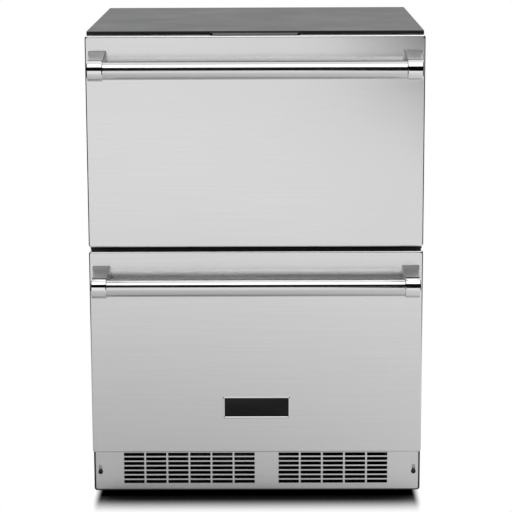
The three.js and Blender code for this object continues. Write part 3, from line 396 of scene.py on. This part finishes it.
tube_metal = buffed_metal("buffed_stainless_tube", "#D4D4D4", 0.12, "X", 0.8, 240, 0.0004)
arm_metal = buffed_metal("satin_stainless_arm", "#CECECE", 0.36, "Y", 0.8, 90, 0.003)
cap_metal = buffed_metal("polished_stainless_cap", "#E2E2E2", 0.06, "X", 0.5, 8, 0.0004)
print("handle metals:", tube_metal.name, arm_metal.name, cap_metal.name)

# %% [markdown]
# Powder coat is dry paint that is sprayed on as dust and baked until it flows. It keeps a faint
# orange peel, waves about 3 mm across, over a satin sheen. Paint is not a metal, so its colour
# stays in the diffuse part and the sheen comes from the clear top of the layer. The shader's
# second, clear coat could carry the sheen, but powder coat is one layer of paint. The sides wear
# it in black and the top in grey. The compressor's shell is enamelled instead: liquid paint runs
# smoother, so its highlights are small and bright.

# %% Baked paints
def baked_paint(name, code, lighter, roughness, peel_mm=3.0, depth_mm=0.02):
    worn_mm = 90
    material, tree, shader = material_tree(name)
    worn = cloud(tree, worn_mm, 4)
    peel = cloud(tree, peel_mm)
    tone = stops(add(tree, "ShaderNodeValToRGB", {"Fac": worn}), (0.35, code), (0.75, lighter))
    waves = add(tree, "ShaderNodeBump", {"Height": peel, "Distance": depth_mm / 1000})
    feed(tree, shader, {
        "IOR": 1.5, "Base Color": tone, "Normal": waves.outputs["Normal"],
        "Roughness": uneven(tree, (worn, roughness - 0.04, roughness + 0.06)),
    })
    return material


black_coat = baked_paint("black_powder_coat", "#151516", "#18181A", 0.42)
grey_coat = baked_paint("grey_powder_coat", "#494A4C", "#4F5052", 0.52)
shell_enamel = baked_paint("black_shell_enamel", "#0C0C0D", "#121213", 0.22, 5.0, 0.03)
print("paints:", black_coat.name, grey_coat.name, shell_enamel.name)

# %% [markdown]
# Galvanised steel is dipped in zinc, which freezes into flat crystals called spangle. Each
# crystal reflects a little differently. A Voronoi pattern with cells of about 9 mm stands for
# the crystals, and the tone of each cell moves both the colour and the roughness. A picture of
# real zinc would show more, but a pattern has no seams and needs no file. The slides are zinc
# plated in a bath, which leaves finer crystals, so the same pattern serves at 2.5 mm.

# %% Galvanised steel
def galvanised(name, dark, light, spangle_mm):
    ragged_mm, raggedness = spangle_mm * 0.6, 0.0012
    material, tree, shader = material_tree(name)
    place = add(tree, "ShaderNodeTexCoord", {}).outputs["Object"]
    ragged = {"Vector": place, "Scale": 1000 / ragged_mm}
    bend = add(tree, "ShaderNodeTexNoise", ragged).outputs["Color"]
    mix = {0: raggedness, 4: place, 5: bend}
    bent = add(tree, "ShaderNodeMix", mix, data_type="VECTOR").outputs[1]
    crystals = {"Vector": bent, "Scale": 1000 / spangle_mm}
    cells = add(tree, "ShaderNodeTexVoronoi", crystals).outputs["Color"]
    level = add(tree, "ShaderNodeSeparateXYZ", {"Vector": cells}).outputs["X"]
    tone = stops(add(tree, "ShaderNodeValToRGB", {"Fac": level}), (0.1, dark), (0.9, light))
    rough = uneven(tree, (level, 0.34, 0.46))
    feed(tree, shader, {"Metallic": 1, "Base Color": tone, "Roughness": rough})
    return material


spangled_sheet = galvanised("galvanised_sheet", "#AAAEB0", "#BFC2C4", 9)
slide_steel = galvanised("zinc_plated_slide_steel", "#B4B6B4", "#C4C6C4", 2.5)
print("zinc finishes:", spangled_sheet.name, slide_steel.name)

# %% [markdown]
# The plastics differ in how they were shaped. The liner and the bins are white polystyrene sheet,
# drawn over a mould, with a soft sheen. The fans, the visor and the fascia are injection moulded
# ABS with a fine spark texture, black or grey, which breaks up a highlight. The gasket is soft
# PVC, which is matte and slightly dusty, the foam of the insulation is dull and pitted, and the
# interior light is glossy opal acrylic. Each could have a shader of its own, but all have the
# same build: a base colour, a grain of the mould and a roughness. A small helper dulls the visor,
# whose soft coating swallows the light that bare ABS would reflect.

# %% Plastics and rubber
def moulded(name, code, lighter, roughness, grain_mm, depth_mm, ior):
    drift_mm = 140
    material, tree, shader = material_tree(name)
    grain = cloud(tree, grain_mm)
    drift = cloud(tree, drift_mm)
    tone = stops(add(tree, "ShaderNodeValToRGB", {"Fac": drift}), (0.3, code), (0.7, lighter))
    dents = add(tree, "ShaderNodeBump", {"Height": grain, "Distance": depth_mm / 1000})
    feed(tree, shader, {
        "IOR": ior, "Base Color": tone, "Normal": dents.outputs["Normal"],
        "Roughness": uneven(tree, (grain, roughness - 0.03, roughness + 0.05)),
    })
    return material


def dull(material, sheen):
    material.node_tree.nodes["Principled BSDF"].inputs["Specular IOR Level"].default_value = sheen


white_liner = moulded("drawn_white_polystyrene", "#E3E5E4", "#E9EBEA", 0.34, 2.4, 0.012, 1.59)
black_abs = moulded("black_spark_textured_abs", "#101011", "#151516", 0.5, 1.0, 0.02, 1.54)
grey_abs = moulded("grey_moulded_abs", "#6E7072", "#76787A", 0.45, 1.0, 0.015, 1.54)
soft_pvc = moulded("black_soft_pvc", "#1D1E1F", "#242526", 0.62, 1.6, 0.02, 1.53)
foam = moulded("rigid_polyurethane_foam", "#D9C58C", "#E3D29E", 0.85, 1.4, 0.25, 1.5)
opal = moulded("opal_acrylic", "#EEF0EE", "#F4F6F4", 0.2, 3.0, 0.03, 1.49)
soft_touch = moulded("black_soft_touch_abs", "#0E0E0F", "#121213", 0.85, 1.0, 0.02, 1.5)
dull(soft_touch, 0.12)
print("plastics:", white_liner.name, black_abs.name, soft_pvc.name, soft_touch.name)

# %% [markdown]
# Bare metals of the cooling circuit and the hardware: rolled aluminium for the coils and a fan,
# zinc plate on the legs and the screws at the back, and blackened steel for the kick plate's
# screws. Scratches could be drawn on them too, but all have a rolled or tumbled surface, so a
# cloud of small changes in roughness is enough: it makes a highlight look soft and a bit uneven.

# %% Bare hardware metals
def rolled_metal(name, dark, light, roughness, mottle_mm):
    material, tree, shader = material_tree(name)
    mottle = cloud(tree, mottle_mm, 4)
    tone = stops(add(tree, "ShaderNodeValToRGB", {"Fac": mottle}), (0.3, dark), (0.7, light))
    rough = uneven(tree, (mottle, roughness - 0.05, roughness + 0.08))
    feed(tree, shader, {"Metallic": 1, "Base Color": tone, "Roughness": rough})
    return material


coil_aluminium = rolled_metal("rolled_aluminium", "#C9CBCC", "#DADBDB", 0.34, 12)
zinc_plate = rolled_metal("zinc_plated_steel", "#8E9092", "#A9ABAC", 0.36, 5)
dark_screw = rolled_metal("blackened_steel", "#3A3B3C", "#4A4B4C", 0.4, 3)
print("hardware:", coil_aluminium.name, zinc_plate.name, dark_screw.name)

# %% [markdown]
# Every part of the real machine has one finish, so each solid takes one from its name. Sixty
# lines could name them one by one, but a list of word and finish is shorter. It is read from the
# top and the first match counts, so the special cases stand above the general ones.

# %% Finishes on the solids
finishes = [
    ("front_skin", front_sheet), ("kick_plate", front_sheet), ("handle_tube", tube_metal),
    ("handle_collar", cap_metal), ("handle_post", arm_metal), ("nameplate", cap_metal),
    ("front_backing", white_liner), ("gasket", soft_pvc), ("_bin", white_liner),
    ("inner_liner", white_liner), ("insulation", foam), ("top_panel", grey_coat),
    ("back_panel", spangled_sheet), ("machine_room_cover", spangled_sheet), ("slide", slide_steel),
    ("evaporator_coil", coil_aluminium), ("condenser_coil", coil_aluminium),
    ("evaporator_cover", white_liner), ("condenser_fan_blades", coil_aluminium),
    ("fan", black_abs), ("compressor", shell_enamel), ("condensate_tray", black_abs),
    ("cord_gland", black_abs), ("leg_", zinc_plate), ("kick_screw", dark_screw),
    ("control_fascia", grey_abs), ("control_visor", soft_touch), ("interior_light", opal),
    ("side_panel", black_coat), ("base_pan", black_coat), ("face_frame", black_coat),
]
for name, solid in sorted(nodes.items()):
    finish = next(material for key, material in finishes if key in name)
    solid.data.materials.clear()
    solid.data.materials.append(finish)
print(len(nodes), "solids finished")

# %% [markdown]
# The solids are cut from flat facets with knife-sharp edges. Real sheet and mouldings have small
# radii that catch a line of light, and round parts have no facets at all. The solid's own mesh
# must stay as it is, so a copy stands for it: its corners are joined, flat neighbours are merged,
# the sharp edges are bevelled and the rest is shaded smooth. Smooth shading alone would bend the
# reflections on a big flat sheet towards its corners, so the normals are weighted by area, which
# keeps flat faces flat. Drawing each part again with more sides would take far more code. The
# plate and the kick plate's screws have pieces of their own below, and the foam is plain.

# %% Rounded copies
same_corner = 2e-6
same_plane, sharp_edge = math.radians(0.5), math.radians(35)


def smoothed(mesh):
    mesh.shade_smooth()
    mesh.set_sharp_from_angle(angle=sharp_edge)
    return mesh


def bevelled(piece, width):
    edge = piece.modifiers.new("edge", "BEVEL")
    edge.width = width
    edge.segments = 2
    edge.limit_method = "ANGLE"
    edge.angle_limit = sharp_edge


def rounded(name, edge_mm):
    solid = nodes[name]
    shape = bmesh.new()
    shape.from_mesh(solid.data)
    bmesh.ops.remove_doubles(shape, verts=shape.verts, dist=same_corner)
    bmesh.ops.dissolve_limit(shape, angle_limit=same_plane, verts=shape.verts, edges=shape.edges)
    mesh = smoothed(mesh_of(name + "_rounded", shape, solid.data.materials[0]))
    piece = in_scene(name + "_rounded", mesh)
    bevelled(piece, edge_mm / 1000)
    flat = piece.modifiers.new("flat", "WEIGHTED_NORMAL")
    flat.mode = "FACE_AREA"
    flat.weight = 100
    flat.keep_sharp = True
    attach(piece, body_of(solid)[0])
    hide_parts(name)


edges_mm = [
    ("front_skin", 0.3), ("kick_plate", 0.1), ("handle_tube", 0.3), ("handle_collar", 0.4),
    ("handle_post", 0.8), ("top_panel", 0.3), ("_bin", 0.5), ("leg_", 0.3), ("cord_gland", 0.4),
    ("compressor", 0.8), ("fan", 0.4), ("visor", 0.5), ("fascia", 0.3), ("light", 0.6),
    ("tray", 0.5), ("coil", 0.2), ("slide", 0.15), ("cover", 0.3), ("back_panel", 0.3),
    ("side_panel", 0.3), ("base_pan", 0.3), ("face_frame", 0.6), ("gasket", 0.4),
    ("front_backing", 0.6), ("inner_liner", 0.5),
]
count = 0
for name in sorted(nodes):
    edge_mm = next((edge for key, edge in edges_mm if key in name), None)
    if edge_mm:
        rounded(name, edge_mm)
        count += 1
print(count, "solids have rounded copies")

# %% [markdown]
# The plate on the lower front is a cast frame with a rounded, polished rim round a black enamelled
# field, which is left bare. The rim has to be a true half round, because its highlights come from
# all sides. A bevelled box would give it flats, so it is lofted: the outline is drawn again and
# again, each time a little smaller and as high as the half round is there.

# %% Plate on the lower front
def rounded_outline(width, height, radius):
    steps = 6
    points = []
    for corner in range(4):
        u = (1 if corner in (0, 3) else -1) * (width / 2 - radius)
        v = (1 if corner < 2 else -1) * (height / 2 - radius)
        for step in range(steps + 1):
            angle = math.radians(90) * (corner + step / steps)
            points.append((u + radius * math.cos(angle), v + radius * math.sin(angle)))
    return points


def facing_front(x, y, z):
    return Matrix.Translation((x, y, z)) @ Matrix.Rotation(math.radians(90), 4, "X")


def loft(rings):
    shape = bmesh.new()
    rows = [[shape.verts.new(point) for point in ring] for ring in rings]
    for first, second in zip(rows, rows[1:]):
        for i in range(len(first)):
            j = (i + 1) % len(first)
            shape.faces.new((first[i], first[j], second[j], second[i]))
    shape.faces.new(rows[0])
    shape.faces.new(rows[-1])
    return shape


def finish_piece(name, shape, to_world, material, body):
    bmesh.ops.recalc_face_normals(shape, faces=shape.faces)
    shape.transform(to_world)
    piece = in_scene(name, smoothed(mesh_of(name, shape, material)))
    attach(piece, body)
    return piece


rim_width, rim_corner, tighter_inside, arcs = 0.0032, 0.0034, 0.7, 10
edge_share, domed_share = 0.45, 0.55
field_height, field_corner = 0.0009, 0.0012
enamel_levels = [(0.0, 0.0), (0.0, 0.0002), (0.0004, 0.0003)]  # inset and rise, in metres

low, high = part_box("nameplate")
middle = (low + high) / 2
width, height, depth = high.x - low.x, high.z - low.z, high.y - low.y
to_plate = facing_front(middle.x, high.y, middle.z)
rings = [[(u, v, 0) for u, v in rounded_outline(width, height, rim_corner)]]
for step in range(arcs + 1):
    inset = rim_width * step / arcs
    rise = depth * (edge_share + domed_share * math.sin(math.pi * step / arcs))
    corner = rim_corner - tighter_inside * inset
    outline = rounded_outline(width - 2 * inset, height - 2 * inset, corner)
    rings.append([(u, v, rise) for u, v in outline])
rings.append([(u, v, field_height) for u, v, rise in rings[-1]])
rim_piece = finish_piece("plate_rim", loft(rings), to_plate, cap_metal, "lower_drawer")
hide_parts("nameplate")

black_enamel = baked_paint("black_plate_enamel", "#060608", "#0A0A0C", 0.12, 4.0, 0.01)
dull(black_enamel, 0.2)
outline = rounded_outline(width - 2 * rim_width, height - 2 * rim_width, field_corner)
enamel = [[(u * (1 - 2 * inset / width), v * (1 - 2 * inset / height), field_height + rise)
           for u, v in outline] for inset, rise in enamel_levels]
finish_piece("plate_field", loft(enamel), to_plate, black_enamel, "lower_drawer")
print("plate", round(width * 1000, 1), "by", round(height * 1000, 1), "mm")

# %% [markdown]
# The front fold of the top sheet wears a thin black strip in soft PVC. It is a dark sheet that
# paints the shade of the gap above the upper drawer. The fold could be painted with a mask, but the
# strip has a thickness of its own.

# %% Edge strip of painted shade
strip_height, strip_corner, strip_sheet, strip_edge = 0.0036, 0.0008, 0.00028, 0.0001
below_top, shorter, just_off = 0.0021, 0.001, 0.00002

low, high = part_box("top_panel")
outline = rounded_outline(high.x - low.x - shorter, strip_height, strip_corner)
profile = [[(u, v, rise) for u, v in outline] for rise in (0, strip_sheet)]
to_fold = facing_front((low.x + high.x) / 2, low.y - just_off, high.z - below_top)
# The black strip paints the shade of the gap above the upper drawer
strip = finish_piece("top_edge_shade_strip", loft(profile), to_fold, soft_pvc, "cabinet")
bevelled(strip, strip_edge)
print("strip", round((high.x - low.x) * 1000), "mm long")

# %% [markdown]
# Sheet metal is held by pan head screws with a cross recess. A screw could be a plain dome, but
# the cross is what tells the eye that it is a screw. The head is a grid of rings and spokes, and
# the points that fall inside the cross are pushed down.

# %% Screws
def screw_rings(radius, height, shank_length):
    spokes, circles = 40, 10
    edge_drop, cross_width, cross_reach, cross_depth = 0.75, 0.16, 0.62, 0.6
    rings = []
    for circle in range(1, circles + 1):
        share = circle / circles
        dome = height * (1 - edge_drop * share ** 3)
        row = []
        for spoke in range(spokes):
            angle = 2 * math.pi * spoke / spokes
            x, y = radius * share * math.cos(angle), radius * share * math.sin(angle)
            in_arms = min(abs(x), abs(y)) < cross_width * radius
            in_cross = in_arms and math.hypot(x, y) < cross_reach * radius
            row.append((x, y, dome - (cross_depth * height if in_cross else 0)))
        rings.append(row)
    shank, turn = radius * 0.5, 2 * math.pi / spokes
    for size, level in ((radius, 0), (shank, 0), (shank, -shank_length)):
        rings.append([(size * math.cos(i * turn), size * math.sin(i * turn), level)
                      for i in range(spokes)])
    return rings


def facing_back(x, y, z):
    return Matrix.Translation((x, y, z)) @ Matrix.Rotation(math.radians(-90), 4, "X")


def screws(name, places, sizes, facing, material):
    together = bmesh.new()
    for place in places:
        one = loft(screw_rings(*sizes))
        one.transform(facing(*place))
        part = mesh_of(name + "_one", one, material)
        together.from_mesh(part)
        bpy.data.meshes.remove(part)
    return finish_piece(name, together, Matrix.Identity(4), material, "cabinet")


kick_head = 0.0022
for side in ("left", "right"):
    node = "kick_screw_" + side
    low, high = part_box(node)
    place = ((low.x + high.x) / 2, low.y + kick_head, (low.z + high.z) / 2)
    sizes = ((high.x - low.x) / 2, kick_head, high.y - low.y - kick_head)
    screw = screws(node + "_head", [place], sizes, facing_front, dark_screw)
    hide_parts(node)

pan_head = (0.0042, 0.002, 0.0008)  # radius, height and length of shank
edge_x, panel_rows, cover_rows, foot_row = 0.289, (0.318, 0.582, 0.848), (0.100, 0.288), 0.034
back_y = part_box("back_panel")[1].y
back_places = [(x, back_y, z) for x in (-edge_x, 0.0, edge_x) for z in panel_rows
               if x or z != panel_rows[1]]
cover_places = [(x, back_y, z) for x in (-edge_x, edge_x) for z in cover_rows]
cover_places += [(0.0, back_y, cover_rows[1]), (0.0, back_y, foot_row)]
screws("back_panel_screws", back_places, pan_head, facing_back, zinc_plate)
screws("machine_room_screws", cover_places, pan_head, facing_back, zinc_plate)
print(2 + len(back_places) + len(cover_places), "screws")

# %% [markdown]
# Above each screw of the kick plate the slot shows bare zinc: a galvanised tab on the base pan
# that the screw holds on to. A flat patch of paint would do from the front, but the tab is a
# small stamped plate, so it is a thin outline with round corners.

# %% Tabs behind the kick plate
tab_width, tab_height, tab_corner, tab_sheet, tab_middle = 0.016, 0.034, 0.003, 0.0002, 0.056
base_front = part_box("base_pan")[0].y
outline = rounded_outline(tab_width, tab_height, tab_corner)
for side in ("left", "right"):
    low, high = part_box("kick_screw_" + side)
    tab = loft([[(u, v, rise) for u, v in outline] for rise in (0, tab_sheet)])
    to_pan = facing_front((low.x + high.x) / 2, base_front - just_off, tab_middle)
    finish_piece("kick_tab_" + side, tab, to_pan, spangled_sheet, "cabinet")
print("two tabs,", round(tab_width * 1000), "mm wide")

# %% [markdown]
# Copper pipes join the compressor to the condenser and carry the gas up through the foam. They
# are drawn through a ring, which leaves them smooth and softly shiny, and a bender then forms
# them. So a curve with soft corners and a round section is closer to how a pipe is made than
# joined cylinders would be.

# %% Refrigerant pipes
drawn_copper = rolled_metal("drawn_copper_pipe", "#B87D5C", "#C68E6C", 0.3, 14)
discharge_diameter, suction_diameter = 0.0064, 0.0095
bend_reach, bend_steps = 0.022, 6


def pipe(name, diameter, points, body):
    route = [Vector(points[0])]
    for before, here, after in zip(points, points[1:], points[2:]):
        here = Vector(here)
        back = (Vector(before) - here).normalized() * bend_reach
        ahead = (Vector(after) - here).normalized() * bend_reach
        for step in range(bend_steps + 1):
            t = step / bend_steps
            route.append(here + back * (1 - t) ** 2 + ahead * t ** 2)
    route.append(Vector(points[-1]))
    data = bpy.data.curves.new(name, "CURVE")
    data.dimensions = "3D"
    line = data.splines.new("POLY")
    line.points.add(len(route) - 1)
    for point, place in zip(line.points, route):
        point.co = (*place, 1)
    data.bevel_depth = diameter / 2
    data.bevel_resolution = 5
    data.use_fill_caps = True
    data.materials.append(drawn_copper)
    piece = in_scene(name, data)
    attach(piece, body)


discharge_route = [(0.110, 0.205, 0.180), (0.110, 0.205, 0.262),
                   (-0.236, 0.205, 0.262), (-0.236, 0.205, 0.236)]
suction_route = [(0.190, 0.230, 0.180), (0.190, 0.230, 0.270),
                 (0.190, 0.290, 0.270), (0.190, 0.290, 0.300)]
pipe("discharge_pipe", discharge_diameter, discharge_route, "cabinet")
pipe("suction_pipe", suction_diameter, suction_route, "cabinet")
print("two pipes of", drawn_copper.name)
